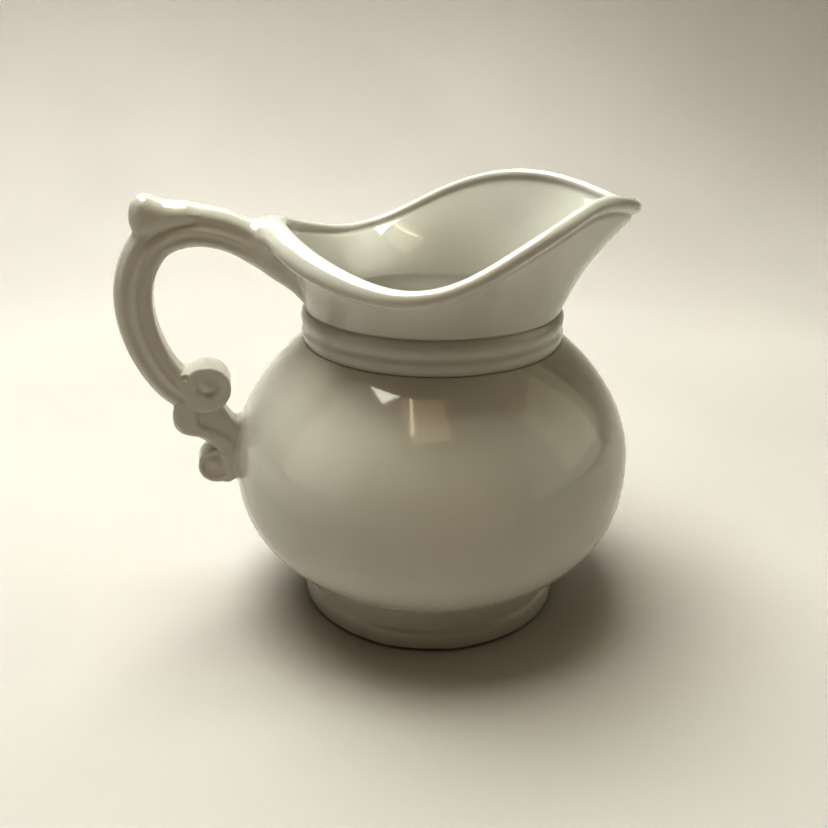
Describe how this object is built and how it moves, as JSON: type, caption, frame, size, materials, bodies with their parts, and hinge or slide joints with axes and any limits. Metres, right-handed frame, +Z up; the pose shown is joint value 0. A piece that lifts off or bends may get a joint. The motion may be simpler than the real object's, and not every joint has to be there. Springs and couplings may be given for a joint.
{
  "type": "cream jug",
  "caption": "Small round-bellied ceramic cream jug with a foot ring, raised collar, wide wavy pouring lip and a scroll handle with a thumb rest.",
  "frame": {"origin": "on the surface the jug stands on, below the centre of its overall box", "axes": "+Z up, +X towards the spout, the handle on -X, +Y across, so that the XZ plane is the mirror plane"},
  "size_m": [0.114, 0.092, 0.0977],
  "materials": {
    "foot_ring": "clear gloss glaze over ivory body",
    "bowl": "clear gloss glaze over ivory body",
    "neck_collar": "clear gloss glaze over ivory body",
    "spouted_neck": "clear gloss glaze over ivory body",
    "rim_roll": "clear gloss glaze over ivory body",
    "handle_arch": "clear gloss glaze over ivory body",
    "thumb_rest": "clear gloss glaze over ivory body",
    "upper_scroll": "clear gloss glaze over ivory body",
    "handle_bracket": "clear gloss glaze over ivory body",
    "lower_scroll": "clear gloss glaze over ivory body"
  },
  "bodies": {
    "root": {"foot_ring": "foot_ring", "bowl": "bowl", "neck_collar": "neck_collar", "spouted_neck": "spouted_neck", "rim_roll": "rim_roll", "handle_arch": "handle_arch", "thumb_rest": "thumb_rest", "upper_scroll": "upper_scroll", "handle_bracket": "handle_bracket", "lower_scroll": "lower_scroll"}
  },
  "joints": []
}
